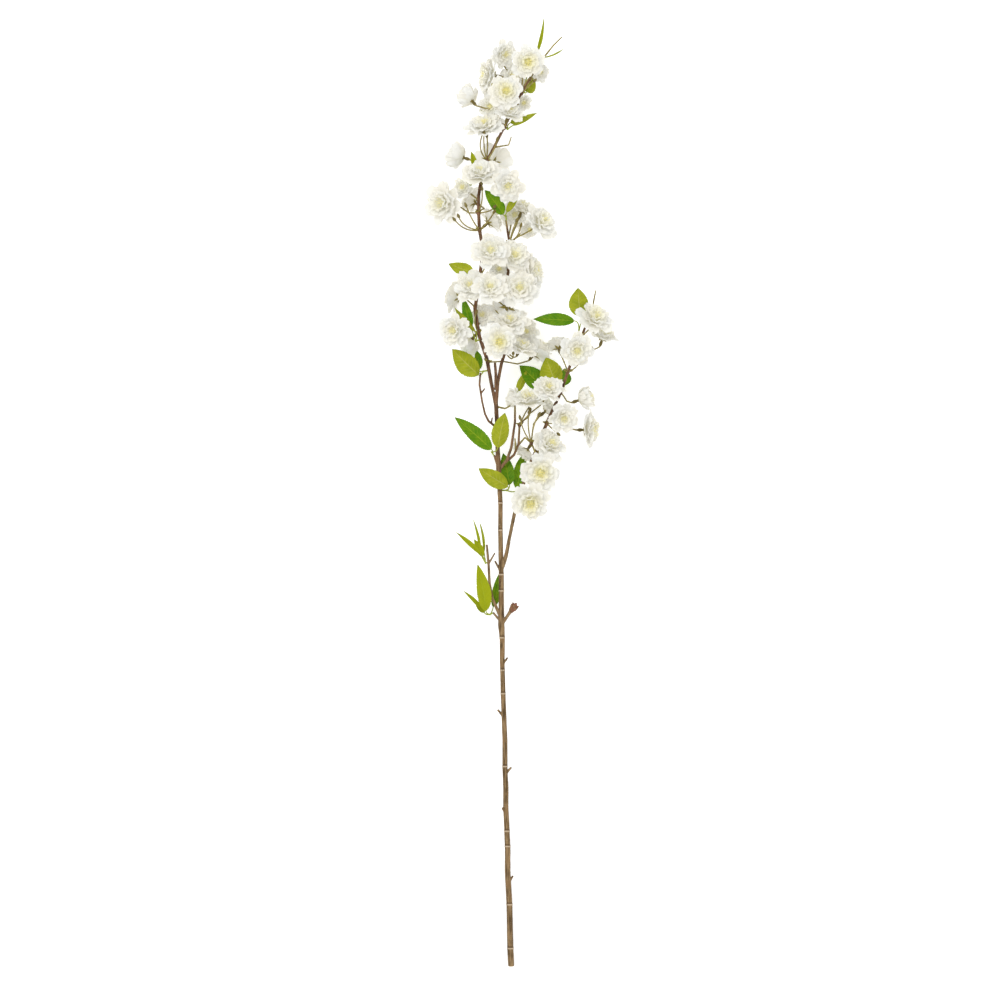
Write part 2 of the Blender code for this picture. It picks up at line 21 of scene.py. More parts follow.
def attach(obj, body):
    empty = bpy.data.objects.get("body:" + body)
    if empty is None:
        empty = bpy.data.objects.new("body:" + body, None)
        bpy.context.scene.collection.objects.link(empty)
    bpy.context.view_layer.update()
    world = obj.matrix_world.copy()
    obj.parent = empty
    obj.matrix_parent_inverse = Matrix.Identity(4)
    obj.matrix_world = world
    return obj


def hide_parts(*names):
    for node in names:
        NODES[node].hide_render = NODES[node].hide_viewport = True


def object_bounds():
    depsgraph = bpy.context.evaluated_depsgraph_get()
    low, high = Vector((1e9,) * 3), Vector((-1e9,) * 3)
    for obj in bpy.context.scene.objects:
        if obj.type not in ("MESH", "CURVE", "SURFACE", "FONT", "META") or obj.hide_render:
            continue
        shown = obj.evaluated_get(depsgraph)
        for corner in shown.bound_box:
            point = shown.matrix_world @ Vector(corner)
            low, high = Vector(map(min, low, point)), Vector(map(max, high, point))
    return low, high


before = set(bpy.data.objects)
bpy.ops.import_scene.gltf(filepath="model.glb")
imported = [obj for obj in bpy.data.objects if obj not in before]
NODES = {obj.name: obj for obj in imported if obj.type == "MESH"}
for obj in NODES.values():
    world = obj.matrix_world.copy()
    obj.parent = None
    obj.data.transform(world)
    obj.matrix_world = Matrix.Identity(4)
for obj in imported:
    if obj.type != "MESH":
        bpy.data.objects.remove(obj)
CAD_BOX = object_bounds()
FLOWERS = sorted(name for name in NODES if name.startswith("blossom"))
MM = 0.001
print(f"{len(NODES)} nodes, {len(FLOWERS)} of them flowers")


# %% [markdown]
# ## Writing materials as formulas
#
# A shader tree soon turns into a tangle of small Math nodes. A class that wraps a socket and
# overloads + - * lets us write `1 - mask * 0.5` and get those nodes. Everything else goes through
# one `node` method, which takes the node's type, its settings, and what its sockets hold.

# %% A field of values
class Field:
    """A shader socket that can be added, subtracted and multiplied."""

    def __init__(self, paint, socket):
        self.paint, self.socket = paint, socket

    def maths(self, operation, *others):
        return self.paint.maths(operation, self, *others)

    def __add__(self, other):
        return self.maths("ADD", other)

    def __sub__(self, other):
        return self.maths("SUBTRACT", other)

    def __rsub__(self, other):
        return self.paint.maths("SUBTRACT", other, self)

    def __mul__(self, other):
        return self.maths("MULTIPLY", other)

    __radd__, __rmul__ = __add__, __mul__

    def within(self, low, high):
        """0 below low, 1 above high, and a smooth step between."""
        inputs = {"Value": self, "From Min": low, "From Max": high}
        return self.paint.node("ShaderNodeMapRange", inputs, interpolation_type="SMOOTHSTEP")


# %% A material under construction
class Paint:
    """One procedural material, built around its Principled shader."""

    def __init__(self, name, roughness, specular):
        self.material = bpy.data.materials.new(name)
        self.material.use_nodes = True
        self.tree = self.material.node_tree
        self.skin = self.tree.nodes["Principled BSDF"]
        self.set("Roughness", roughness)
        self.set("Specular IOR Level", specular)

    def node(self, kind, inputs=None, output=0, **settings):
        made = self.tree.nodes.new(kind)
        for name, value in settings.items():
            setattr(made, name, value)
        for name, value in (inputs or {}).items():
            self.plug(made.inputs[name], value)
        return Field(self, made.outputs[output])

    def plug(self, socket, value):
        if isinstance(value, Field):
            self.tree.links.new(value.socket, socket)
        elif socket.type == "RGBA":
            socket.default_value = (*value, 1.0)
        else:
            socket.default_value = value

    def set(self, name, value):
        self.plug(self.skin.inputs[name], value)

    def maths(self, operation, *values):
        return self.node("ShaderNodeMath", dict(enumerate(values)), operation=operation)

    def value(self, name):
        """A value that the mesh carries on its points."""
        return self.node("ShaderNodeAttribute", output="Fac", attribute_name=name)

    def noise(self, scale, detail=2.0, stretch=(1.0, 1.0, 1.0)):
        """Cloudy noise with about scale blotches in a metre."""
        place = self.node("ShaderNodeTexCoord", output="Object")
        place = self.node("ShaderNodeMapping", {"Vector": place, "Scale": stretch})
        inputs = {"Vector": place, "Scale": scale, "Detail": detail}
        return self.node("ShaderNodeTexNoise", inputs, output="Fac")

    def mix(self, amount, first, second):
        inputs = {0: amount, 6: first, 7: second}
        return self.node("ShaderNodeMix", inputs, output=2, data_type="RGBA")

    def bump(self, height, distance):
        self.set("Normal", self.node("ShaderNodeBump", {"Height": height, "Distance": distance}))

    def glow(self, colour, strength):
        """Adds a little light of the surface's own."""
        self.set("Emission Color", colour)
        self.set("Emission Strength", strength)

    def glow_through(self, colour, amount):
        """Lets some light through a thin sheet, by mixing in a translucent shader."""
        thin = self.node("ShaderNodeBsdfTranslucent", {"Color": colour})
        both = self.node("ShaderNodeMixShader", {
            0: amount, 1: Field(self, self.skin.outputs[0]), 2: thin})
        self.plug(self.tree.nodes["Material Output"].inputs["Surface"], both)


PAINTS = {}


# %% [markdown]
# ## Petal silk
#
# The petals are matt and nearly white, like fine silk, and light comes through them. A faint glow
# of their own, which is painted light, keeps the folds between them bright and creamy. One colour
# would look like plaster, so five things vary: each petal has its own tint, the inner whorls are
# creamier, so is the foot of every petal, faint veins fan out from the foot, and a fine weave breaks
# up the sheen. The mesh carries what the shader can't know: `reach` runs from foot to tip, `across`
# from side to side, `heart` says how creamy the petal is, and `tint` is its own shade of white.

# %% Petal silk
def petal_paint():
    paint = Paint("petal", roughness=0.7, specular=0.2)
    reach, across = paint.value("reach"), paint.value("across")
    heart, tint = paint.value("heart"), paint.value("tint")
    cloud, weave = paint.noise(420, 3), paint.noise(2600, 2)
    white = paint.mix(tint, (0.88, 0.88, 0.86), (0.89, 0.875, 0.82))
    foot = (1 - reach * 1.6).within(0.0, 1.0)
    cream = (heart * 0.9 + foot * 0.25 + cloud * 0.15).within(0.05, 1.15)
    colour = paint.mix(cream, white, (0.92, 0.89, 0.62))
    veins = (across * 30.0 + cloud * 6.0).maths("SINE").within(0.55, 1.0) * (1 - reach * 0.7)
    colour = paint.mix(veins * 0.16, colour, (0.72, 0.68, 0.55))
    paint.set("Base Color", colour)
    # painted light: a faint glow in the petal's own colour brightens its shaded folds
    paint.glow(colour, 0.12)
    paint.glow_through(colour, 0.40)
    paint.bump(cloud * 0.9 + weave * 0.35 - veins * 0.45, 0.00018)
    return paint.material


PAINTS["petal"] = petal_paint()
print("petal silk:", len(PAINTS["petal"].node_tree.nodes), "nodes")


# %% [markdown]
# ## Stamens and calyx
#
# A stamen is a pale green thread with a yellow bead of pollen on it. The calyx is the green cup
# that holds the flower, with five narrow sepals. Both are too small for much pattern, so a grain
# that mottles them is enough, and one mesh value tells bead from thread and tip from cup.

# %% Stamen and calyx paint
def stamen_paint():
    paint = Paint("stamen", roughness=0.6, specular=0.2)
    grain = paint.noise(1500, 2)
    thread = paint.mix(grain, (0.84, 0.83, 0.50), (0.88, 0.86, 0.58))
    bead = paint.mix(grain, (0.84, 0.72, 0.18), (0.90, 0.82, 0.34))
    colour = paint.mix(paint.value("bead"), thread, bead)
    colour = paint.mix(paint.value("pale"), colour, (0.88, 0.86, 0.66))
    paint.set("Base Color", colour)
    # painted light: a faint glow in the stamens' own colour brightens the shaded heart
    paint.glow(colour, 0.08)
    paint.bump(grain, 0.0001)
    return paint.material


def calyx_paint():
    paint = Paint("calyx", roughness=0.65, specular=0.15)
    grain = paint.noise(700, 3, (1.0, 0.4, 1.0))
    tone = (grain * 0.7 + paint.value("reach") * 0.5).within(0.2, 0.9)
    paint.set("Base Color", paint.mix(tone, (0.16, 0.12, 0.035), (0.33, 0.28, 0.07)))
    paint.bump(grain, 0.0002)
    return paint.material


PAINTS["stamen"], PAINTS["calyx"] = stamen_paint(), calyx_paint()
print("small parts:", [PAINTS[name].name for name in ("stamen", "calyx")])


# %% [markdown]
# ## Leaf green
#
# A young cherry leaf is a saturated green on top and a duller yellow-green underneath. Pale veins
# run from the midrib to the teeth. The veins follow the blade, not space, so they are made from
# `reach` and `across`: a narrow band in the middle is the midrib, and a sine of both gives slanted
# side veins. Leaves are kept fairly matt, or the white room would bleach the green.

# %% Leaf green
SIDE_VEINS, VEIN_SLANT = 9.0, 1.7  # how many to a leaf, and how far they lean forward


def leaf_paint():
    paint = Paint("leaf", roughness=0.55, specular=0.14)
    reach, across = paint.value("reach"), paint.value("across")
    upper, stalk, shade = paint.value("upper"), paint.value("stalk"), paint.value("shade")
    wide = across.maths("ABSOLUTE")
    midrib = 1 - wide.within(0.015, 0.085)
    ribs = ((reach * SIDE_VEINS - wide * VEIN_SLANT) * math.tau).maths("SINE").within(0.80, 1.0)
    ribs = ribs * (1 - wide * 0.8) * wide.within(0.02, 0.12)
    vein = (midrib + ribs * 0.7).maths("MINIMUM", 1.0)
    cloud, grain = paint.noise(150, 4), paint.noise(1100, 3)
    patch = (cloud * 0.8 + grain * 0.3).within(0.35, 0.75)
    top = paint.mix(patch, (0.10, 0.27, 0.002), (0.25, 0.40, 0.004))
    top = paint.mix(shade, top, (0.045, 0.17, 0.003))
    top = paint.mix(paint.value("young") * 0.75, top, (0.40, 0.41, 0.004))
    top = paint.mix(vein * 0.5, top, (0.42, 0.52, 0.03))
    under = paint.mix(patch, (0.29, 0.34, 0.012), (0.40, 0.43, 0.02))
    under = paint.mix(vein * 0.6, under, (0.55, 0.54, 0.12))
    colour = paint.mix(upper, under, top)
    colour = paint.mix(stalk, colour, (0.36, 0.42, 0.05))
    paint.set("Base Color", colour)
    paint.set("Roughness", cloud * 0.2 + 0.46)
    paint.glow_through(colour, 0.12)
    paint.bump(cloud * 0.5 + grain * 0.25 - vein * 0.9, 0.00025)
    return paint.material


PAINTS["leaf"] = leaf_paint()
print("leaf green:", len(PAINTS["leaf"].node_tree.nodes), "nodes")


# %% [markdown]
# ## Bark
#
# Low down the stem is olive-brown, and above the fork it turns redder and darker. The bark's grain
# runs along the stem, so its noise is stretched that way, and pale pores speckle it. At each joint
# there is a pale ring with a dark scar just above it, and sides that face down are darkened with
# painted shade. Flower stalks are olive, buds are reddish, and the cut end shows pale wood. All of
# these are masks that the mesh carries, worked out where the wood is made.

# %% Bark
def bark_paint():
    paint = Paint("bark", roughness=0.75, specular=0.12)
    grain = paint.noise(560, 5, (1.0, 0.10, 1.0))
    blotch, pore = paint.noise(70, 4), paint.noise(850, 2, (0.5, 1.0, 0.5))
    streak = (grain * 0.75 + blotch * 0.35).within(0.38, 0.72)
    low = paint.mix(streak, (0.095, 0.058, 0.024), (0.37, 0.250, 0.125))
    low = paint.mix(blotch.within(0.5, 0.7) * 0.5, low, (0.25, 0.21, 0.085))
    high = paint.mix(streak, (0.060, 0.030, 0.016), (0.235, 0.130, 0.070))
    wood = paint.mix(paint.value("height"), low, high)
    wood = paint.mix(pore.within(0.66, 0.72) * 0.55, wood, (0.46, 0.36, 0.22))
    # painted shade: sides that face down are darkened, as if in shadow
    wood = paint.mix(paint.value("painted_shade_below") * 0.75, wood, (0.07, 0.045, 0.02))
    wood = paint.mix(blotch.within(0.52, 0.62) * 0.45, wood, (0.20, 0.095, 0.045))
    wood = paint.mix(paint.value("scar") * 0.75, wood, (0.075, 0.040, 0.018))
    wood = paint.mix(paint.value("joint") * pore.within(0.25, 0.5), wood, (0.62, 0.50, 0.36))
    wood = paint.mix(paint.value("stalk"), wood,
                     paint.mix(grain.within(0.3, 0.7), (0.19, 0.15, 0.045), (0.38, 0.32, 0.12)))
    wood = paint.mix(paint.value("hip"), wood, (0.12, 0.09, 0.028))
    wood = paint.mix(paint.value("bud"), wood, (0.24, 0.10, 0.06))
    wood = paint.mix(paint.value("cut"), wood, (0.62, 0.50, 0.32))
    paint.set("Base Color", wood)
    paint.set("Roughness", grain * 0.25 + 0.6)
    paint.bump(grain + pore * 0.4 + blotch * 0.4, 0.0005)
    return paint.material


PAINTS["bark"] = bark_paint()
print("bark:", len(PAINTS["bark"].node_tree.nodes), "nodes")


# %% [markdown]
# ## Thin sheets and tubes
#
# Petals, sepals and leaves are all thin sheets, and stalks and stamens are tubes. A sheet could be
# a flat grid with a Solidify modifier, but thousands of petals would be slow that way. So a `Form`
# gathers ready-made closed sheets and tubes as arrays, and makes one mesh of them at the end.

# %% Gathering sheets and tubes
ASKEW = (0.31, 0.17, 0.93)  # a direction that no tube runs along


def unit(vectors):
    """Directions of length 1; the small number keeps a zero length from dividing."""
    return vectors / (np.linalg.norm(vectors, axis=-1, keepdims=True) + 1e-12)


class Form:
    """Points, faces and per-point values of one piece."""

    def __init__(self, *names):
        self.points, self.faces, self.count = [], [], 0
        self.values = {name: [] for name in names}

    def add(self, points, faces, values):
        self.points.append(points)
        self.faces.append(np.asarray(faces) + self.count)
        for name, store in self.values.items():
            store.append(np.broadcast_to(values.get(name, 0.0), len(points)))
        self.count += len(points)

    def sheet(self, grid, thickness, **values):
        """A closed thin solid around a grid of points."""
        rows, columns = grid.shape[:2]
        total = rows * columns
        normal = unit(np.cross(np.gradient(grid, axis=1), np.gradient(grid, axis=0)))
        index = np.arange(total).reshape(rows, columns)
        top = np.stack([index[:-1, :-1], index[:-1, 1:], index[1:, 1:], index[1:, :-1]], -1)
        top = top.reshape(-1, 4)
        rim = np.concatenate([index[0], index[1:, -1], index[-1, -2::-1], index[-2:0:-1, 0]])
        after = np.roll(rim, -1)
        edge = np.stack([after, rim, rim + total, after + total], -1)
        skins = [grid + normal * thickness / 2, grid - normal * thickness / 2]
        values = {name: value if np.ndim(value) == 0 else np.tile(value.ravel(), 2)
                  for name, value in values.items()}
        values["upper"] = np.repeat([1.0, 0.0], total)
        self.add(np.concatenate([skin.reshape(-1, 3) for skin in skins]),
                 np.concatenate([top, top[:, ::-1] + total, edge]), values)

    def tube(self, path, radii, sides=8, **values):
        """A round tube along a path, with a small cone on each end."""
        heading = unit(np.gradient(path, axis=0))
        first = unit(np.cross(heading, ASKEW))
        second = np.cross(heading, first)
        turn = (np.arange(sides) * math.tau / sides)[None, :, None]
        ring = first[:, None] * np.cos(turn) + second[:, None] * np.sin(turn)
        skin = path[:, None] + ring * np.asarray(radii)[:, None, None]
        foot, tip = skin.shape[0] * sides, skin.shape[0] * sides + 1
        index = np.arange(foot).reshape(-1, sides)
        near = np.roll(index, -1, axis=1)
        walls = np.stack([index[:-1], near[:-1], near[1:], index[1:]], -1).reshape(-1, 4)
        caps = [(a, foot, foot, b) for a, b in zip(index[0], near[0])]
        caps += [(b, tip, tip, a) for a, b in zip(index[-1], near[-1])]
        ends = [path[0] - heading[0] * radii[0] / 2, path[-1] + heading[-1] * radii[-1] / 2]
        values = {name: value if np.ndim(value) == 0
                  else np.append(np.repeat(value, sides), [value[0], value[-1]])
                  for name, value in values.items()}
        self.add(np.concatenate([skin.reshape(-1, 3), ends]),
                 np.concatenate([walls, caps]), values)

    def build(self, name, paint, node):
        mesh = bpy.data.meshes.new(name)
        faces = [list(dict.fromkeys(face)) for face in np.concatenate(self.faces).tolist()]
        mesh.from_pydata(np.concatenate(self.points).tolist(), [], faces)
        for label, parts in self.values.items():
            carry(mesh, label, np.concatenate(parts))
        mesh.shade_smooth()
        mesh.set_sharp_from_angle(angle=math.radians(50))
        return tie(name, mesh, paint, node)


# %% Making pieces of them
def carry(mesh, label, values):
    """Stores one value for each point of a mesh, for its material to read."""
    store = mesh.attributes.new(label, "FLOAT", "POINT")
    store.data.foreach_set("value", np.asarray(values, np.float32))


def add_object(name, data):
    """Puts a mesh, lamp or camera in the scene."""
    made = bpy.data.objects.new(name, data)
    bpy.context.scene.collection.objects.link(made)
    return made


def tie(name, mesh, paint, node):
    """Makes a mesh a piece that stands for a node of the frame."""
    mesh.materials.clear()
    mesh.materials.append(PAINTS[paint])
    piece = add_object(name, mesh)
    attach(piece, "root")
    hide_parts(node)
    return piece


print("paints ready:", sorted(PAINTS))


# %% [markdown]
# ## Finding each flower's seat
#
# A flower's node is a cup, round about its own axis. The spread of its points is then the same in
# two directions and different in the third, and the eigenvectors of the covariance give them. The
# odd one out is the axis, and the narrow end is the seat, where the stalk joins.

# %% Seats
def node_points(name):
    """A node's corner points, each once."""
    mesh = NODES[name].data
    points = np.empty(len(mesh.vertices) * 3)
    mesh.vertices.foreach_get("co", points)
    return np.unique(np.round(points.reshape(-1, 3), 6), axis=0)


def seat_of(name):
    """A flower's seat, axis, radius and depth."""
    points = node_points(name)
    middle = points.mean(axis=0)
    spread, ways = np.linalg.eigh(np.cov((points - middle).T))
    odd = 0 if spread[1] - spread[0] > spread[2] - spread[1] else 2
    axis = ways[:, odd]
    height = (points - middle) @ axis
    radial = np.linalg.norm(points - middle - height[:, None] * axis, axis=1)
    close = 0.4 * MM  # how near to an end a point counts as being at it
    if radial[height > height.max() - close].max() < radial[height < height.min() + close].max():
        axis, height = -axis, -height
    return middle + axis * height.min(), axis, radial.max(), height.max() - height.min()


def around(axis, turn):
    """A direction square to an axis, turned about it, and the one square to both."""
    other = [0.0, 1.0, 0.0] if abs(axis[1]) < 0.8 else [1.0, 0.0, 0.0]  # any way off the axis
    first = np.cross(axis, other)
    first /= np.linalg.norm(first)
    second = np.cross(axis, first)
    c, s = math.cos(turn), math.sin(turn)
    return first * c + second * s, second * c - first * s


SEATS = {name: seat_of(name) for name in FLOWERS}
print("flower radii, mm:", sorted({round(seat[2] / MM) for seat in SEATS.values()}))


# %% [markdown]
# ## Petals
#
# A double cherry flower has twenty to thirty petals: a skirt of round spoons at the back, and ever
# shorter, more crumpled ones towards the heart. They could be sculpted one by one, but a curve
# says it better. Each petal follows a bend from the seat to its tip, in a plane through the
# flower's axis. A whorl gives the bend's middle and tip as shares of the flower's radius and
# depth, the petals' half width as a share of the radius, how ruffled they are, and how deep in
# the creamy heart they stand. A flower that is deep for its width is only half open, and its
# petals stand up in a cup.

# %% Whorls
OPEN_WHORLS = [  # count, middle (r, z), tip (r, z), half width, ruffle, heart
    (7, (0.58, 0.48), (1.20, 0.54), 0.34, 0.030, 0.00),
    (8, (0.48, 0.70), (0.94, 0.76), 0.35, 0.065, 0.10),
    (7, (0.34, 0.86), (0.68, 0.90), 0.31, 0.090, 0.25),
    (6, (0.20, 0.90), (0.42, 1.00), 0.25, 0.090, 0.55),
]
HALF_WHORLS = [
    (5, (0.94, 0.14), (1.14, 0.66), 0.47, 0.090, 0.00),
    (5, (0.88, 0.24), (1.02, 0.90), 0.46, 0.100, 0.03),
    (5, (0.70, 0.40), (0.78, 1.02), 0.40, 0.100, 0.15),
    (5, (0.40, 0.45), (0.45, 1.04), 0.32, 0.090, 0.35),
]
BRIGHT_HEARTS = {"blossom_02", "blossom_04", "blossom_27", "blossom_44", "blossom_45"}
SPREAD = {  # how wide a flower opens against its node: crowded ones meet, a few are held back
    "blossom_01": 0.94, "blossom_03": 1.08, "blossom_04": 1.06, "blossom_05": 1.24,
    "blossom_07": 1.15, "blossom_12": 0.93, "blossom_17": 1.08, "blossom_18": 1.22,
    "blossom_19": 1.15, "blossom_20": 1.08, "blossom_21": 1.16, "blossom_22": 1.12,
    "blossom_28": 1.22, "blossom_29": 1.25, "blossom_31": 0.90, "blossom_35": 1.10,
    "blossom_36": 1.06, "blossom_38": 1.20, "blossom_41": 1.12, "blossom_42": 1.25,
    "blossom_43": 1.06,
}
HALF_OPEN = 1.3  # a flower deeper than this many radii is half open


def half_open(radius, depth):
    return depth > HALF_OPEN * radius


half_open_flowers = [name for name in FLOWERS if half_open(*SEATS[name][2:])]
print(len(half_open_flowers), "flowers are half open,", len(SPREAD), "have a spread of their own")


# %% One petal
PETAL_GRID = 12
PETAL_THICKNESS = 0.2 * MM


def sheet_grid(rows, columns):
    """How far along a sheet each of its points is, 0 to 1, and how far across, -1 to 1."""
    return np.meshgrid(np.linspace(0, 1, rows), np.linspace(-1, 1, columns), indexing="ij")


def bend_through(start, bend, end, t):
    """A curve that leaves start towards bend, and comes to end from it."""
    return start * (1 - t) ** 2 + bend * 2 * t * (1 - t) + end * t ** 2


def petal_sheet(dice, radius, depth, middle, tip, half, ruffle):
    """One petal in its own frame: out from the axis, across, and up the axis."""
    v, s = sheet_grid(PETAL_GRID, PETAL_GRID)
    u = np.sin(s * math.pi / 2) * 0.985  # closer together at the sides, where the outline turns
    phase = dice.uniform(0, math.tau, 4)
    half = half * radius * dice.uniform(0.92, 1.08)
    foot = np.array([0.05 * radius, 0.05 * depth])
    bend = np.array([middle[0] * radius, middle[1] * depth]) * dice.uniform(0.90, 1.08)
    end = np.array([tip[0] * radius, tip[1] * depth]) * dice.uniform(0.88, 1.03)
    end[1] += depth * dice.uniform(-0.16, 0.07)
    length = np.linalg.norm(bend - foot) + np.linalg.norm(end - bend)
    notch = dice.uniform(0.0, 0.12) * np.exp(-((u - dice.uniform(-0.25, 0.25)) / 0.18) ** 2)
    reach = 1 - (half / length) * (1 - np.sqrt(1 - u ** 2)) - notch
    reach += 0.022 * np.sin(9 * u + phase[0]) + 0.012 * np.sin(17 * u + phase[3])
    t = (v * reach)[..., None]
    place = bend_through(foot, bend, end, t)
    slope = (bend - foot) * (1 - t) + (end - bend) * t
    slope /= np.linalg.norm(slope, axis=2, keepdims=True)
    width = half * (0.26 + 0.74 * np.sin(0.5 * math.pi * np.clip(v / 0.72, 0, 1)))
    lift = 0.20 * half * (u ** 2 - 0.3) * np.sin(0.8 * math.pi * v)
    lift += ruffle * radius * (np.sin(5.2 * u + phase[1]) + 0.5 * np.sin(9.5 * u + phase[2])) * v ** 2
    lift += 0.5 * ruffle * radius * np.sin(8 * v + phase[3]) * v
    lift += dice.uniform(-0.35, 0.35) * u * width * v
    out = place[..., 0] - slope[..., 1] * lift
    up = place[..., 1] + slope[..., 0] * lift
    return np.stack([out, u * width, up], axis=-1), v, u


print(f"a petal has {PETAL_GRID ** 2} points a side and is {PETAL_THICKNESS / MM} mm thick")


# %% Whole flowers of petals
SEEDS = {  # each kind of piece throws its own dice, so a change to one leaves the others alone
    "petals": 1000, "stamens": 3000, "calyx": 5000, "leaves": 7000, "scales": 9000, "bud": 9500,
}


def above_table(points, gap):
    """Lifts points that would sink into the table."""
    points[..., 2] = np.maximum(points[..., 2], gap)


def node_under(name):
    """The node that a flower's pieces stand for: its own, or the wood that it grows on."""
    return name if name in FLOWERS else "main_stem"


def grow_petals(name, number, seat, axis, radius, depth):
    dice = np.random.default_rng(SEEDS["petals"] + number)
    whorls = HALF_WHORLS if half_open(radius, depth) else OPEN_WHORLS
    warmth = 1.0 if name in BRIGHT_HEARTS else dice.uniform(0.35, 0.75)
    radius *= SPREAD.get(name, 1.0)
    form = Form("reach", "across", "heart", "tint")
    turn = dice.uniform(0, math.tau)
    for count, middle, tip, half, ruffle, heart in whorls:
        turn += 0.5 * math.tau / count + dice.uniform(-0.2, 0.2)
        for k in range(count):
            angle = turn + (k + dice.uniform(-0.24, 0.24)) * math.tau / count
            out, across = around(axis, angle)
            grid, v, u = petal_sheet(dice, radius, depth, middle, tip, half, ruffle)
            points = seat + grid[..., :1] * out + grid[..., 1:2] * across + grid[..., 2:] * axis
            above_table(points, 0.4 * MM)
            form.sheet(points, PETAL_THICKNESS, reach=v, across=u, tint=dice.uniform(0, 1),
                       heart=(heart + (1 - v) * 0.25) * warmth)
    return form.build(f"{name}_petals", "petal", node_under(name))


petals = [grow_petals(name, k, *SEATS[name]) for k, name in enumerate(FLOWERS)]
print("petals:", sum(len(piece.data.polygons) for piece in petals), "faces")


# %% [markdown]
# ## Stamens
#
# In the heart a loose tuft of stamens stands on a small swelling. Each is a thin tube with a short
# fat one on top, turned from the last by the golden angle so that they never line up.

# %% Stamens
GOLDEN_TURN = 2.4  # close to the golden angle, in radians
STAMENS, FEW_STAMENS = 34, 12  # in an open and in a half-open flower


def grow_stamens(name, number, seat, axis, radius, depth):
    dice = np.random.default_rng(SEEDS["stamens"] + number)
    form = Form("bead", "pale")
    pale = 0.15 if name in BRIGHT_HEARTS else dice.uniform(0.55, 0.85)
    boss = seat + np.linspace(0.2, 0.6, 6)[:, None] * depth * axis
    form.tube(boss, radius * np.array([0.12, 0.17, 0.19, 0.17, 0.12, 0.05]), 12, pale=pale)
    for k in range(FEW_STAMENS if half_open(radius, depth) else STAMENS):
        out, _ = around(axis, k * GOLDEN_TURN + dice.uniform(-0.3, 0.3))
        lean = radius * dice.uniform(0.02, 0.24)
        top = depth * dice.uniform(0.66, 0.94)
        steps = np.linspace(0, 1, 5)[:, None]
        path = seat + axis * (0.15 * depth + steps * (top - 0.15 * depth)) + out * lean * steps
        form.tube(path, np.full(5, 0.16 * MM), 5, pale=pale)
        bead = path[-1] + np.linspace(-0.45, 0.45, 5)[:, None] * MM * (axis + out * 0.6)
        form.tube(bead, np.array([0.15, 0.38, 0.45, 0.38, 0.15]) * MM, 6,
                  bead=1.0, pale=pale * 0.7)
    return form.build(f"{name}_stamens", "stamen", node_under(name))


stamens = [grow_stamens(name, k, *SEATS[name]) for k, name in enumerate(FLOWERS)]
print("stamen tufts:", len(stamens))


# %% [markdown]
# ## Calyx
#
# Seen from behind, a flower shows the small cup that its petals grow from, and a star of five
# narrow sepals that lie along the petals' backs.

# %% Calyx
SEPALS = 5


def sepals(form, dice, seat, axis, length, slope, width):
    """Pointed sepals around a seat."""
    for k in range(SEPALS):
        out, across = around(axis, k * math.tau / SEPALS + dice.uniform(-0.15, 0.15))
        v, u = sheet_grid(8, 5)
        half = width * (1 - v ** 1.4) * (0.75 + 0.6 * np.sin(math.pi * v)) + 0.05 * MM
        along = 1.2 * MM + v * length
        up = 0.8 * MM + v * length * slope - v ** 2 * length * dice.uniform(0.2, 0.55)
        up -= 0.3 * half * (1 - u ** 2)
        points = (seat + along[..., None] * out + (u * half)[..., None] * across
                  + up[..., None] * axis)
        above_table(points, 0.3 * MM)
        form.sheet(points, 0.35 * MM, reach=v)


def grow_calyx(name, number, seat, axis, radius, depth):
    dice = np.random.default_rng(SEEDS["calyx"] + number)
    form = Form("reach")
    rise = np.array([0.0, 0.4, 1.0, 1.7, 2.4])[:, None] * MM
    form.tube(seat + rise * axis, np.array([1.35, 1.7, 1.85, 1.7, 0.9]) * MM, 10)
    length = min(0.44 * radius, 7.5 * MM) * dice.uniform(0.9, 1.15)
    slope = 0.9 if half_open(radius, depth) else 0.62
    sepals(form, dice, seat, axis, length, slope, 1.2 * MM)
    return form.build(f"{name}_calyx", "calyx", node_under(name))


calyces = [grow_calyx(name, k, *SEATS[name]) for k, name in enumerate(FLOWERS)]
print("calyces:", len(calyces))


# %% [markdown]
# ## Places along the wood
#
# The leaves and the small pieces have no rule to place them, so tables give their places in
# millimetres: across, along from the stem's cut end, and up from the table. `spot` turns such a
# place into the scene's metres. A leaf or stalk has to grow out of the wood and not hang beside
# it, so `on_bark` looks up the nearest point of the bark, and the stalk or a short peg starts
# there.

# %% Places
CUT_END = np.array([7.0, 0.0, 3.3])  # the cut's middle, in the tables' measure
stem = node_points("main_stem")
ORIGIN = stem[stem[:, 1] < stem[:, 1].min() + MM].mean(axis=0) - CUT_END * MM


def spot(place):
    """A place in the tables' measure, in the scene's."""
    return np.array(place) * MM + ORIGIN


def bark_tree():
    """A search tree over the faces of both wooden nodes."""
    points, faces = [], []
    for name in ("main_stem", "right_branch"):
        mesh = NODES[name].data
        faces += [[k + len(points) for k in face.vertices] for face in mesh.polygons]
        points += [vertex.co.copy() for vertex in mesh.vertices]
    return BVHTree.FromPolygons(points, faces)


BARK_TREE = bark_tree()


def on_bark(place):
    """The point of the bark nearest to a place."""
    return np.array(BARK_TREE.find_nearest(Vector(place))[0])


print("the tables' origin is at", ORIGIN.round(4))


# %% [markdown]
# ## Leaves
#
# Each leaf is a toothed blade on a thin curved stalk, folded along its midrib and arched from base
# to tip. The table gives each spray's root and its blades: base, tip, width and roll, in
# millimetres and degrees. A roll of 0 shows the upper side and 180 the underside. The blade is a
# grid: its rows follow the leaf's length, its width follows an outline curve, and a sawtooth on
# that outline cuts the teeth.

